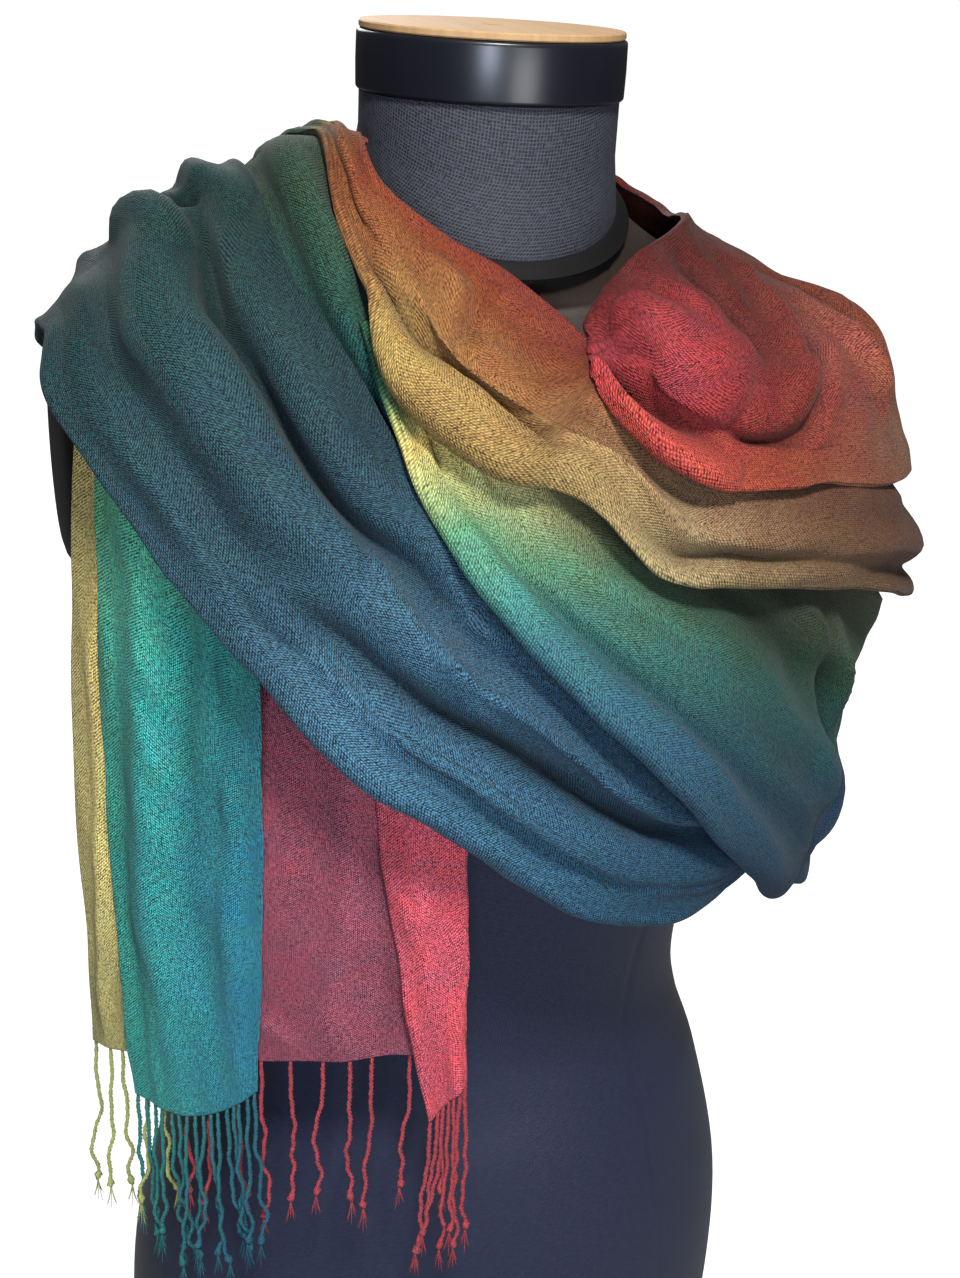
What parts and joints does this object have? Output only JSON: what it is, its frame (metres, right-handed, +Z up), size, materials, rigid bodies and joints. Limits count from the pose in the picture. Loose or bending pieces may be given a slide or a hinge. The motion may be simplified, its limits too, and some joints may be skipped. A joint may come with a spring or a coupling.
{
  "type": "shawl on a limbless dress form",
  "caption": "Fringed twill shawl shaded from red and gold through green to teal and navy, wound round a limbless dress form with a capped neck and a flat base.",
  "frame": {"origin": "on the surface that the form stands on, below the middle of the part's box", "axes": "+Z up, the form's front faces -Y, its left side is towards +X"},
  "size_m": [0.425, 0.3082, 0.86],
  "materials": {
    "jersey": "matt navy knitted jersey",
    "net": "fine open net over black",
    "satin": "smooth navy satin",
    "wood": "pale bare wood",
    "plate": "glossy brown-black",
    "cloth_teal": "soft shot twill, teal shaded from green to blue",
    "cloth_slate": "soft shot twill, dark slate teal",
    "cloth_green": "soft shot twill, deep green",
    "cloth_panel": "soft shot twill, shaded from yellow-green to navy",
    "cloth_gold": "soft shot twill, rust shaded to yellow and tan",
    "cloth_red": "soft shot twill, red",
    "cloth_dusky": "soft shot twill, dusky red shaded from gold",
    "cloth_bright": "soft shot twill, bright red"
  },
  "bodies": {
    "root": {"torso": "jersey", "neck": "net", "neck_cap": "satin", "neck_disc": "wood", "arm_plate_right": "plate", "arm_plate_left": "plate", "tail_back": "cloth_dusky", "tail_flap": "cloth_bright", "tail_front": "cloth_teal", "shoulder_fold": "cloth_green", "lower_swath": "cloth_slate", "back_swath": "cloth_slate", "side_loop": "cloth_slate", "front_panel": "cloth_panel", "middle_band": "cloth_gold", "back_wrap": "cloth_slate", "neck_cowl": "cloth_red", "fringe_back": "cloth_dusky", "fringe_flap": "cloth_bright", "fringe_front": "cloth_teal"}
  },
  "joints": []
}
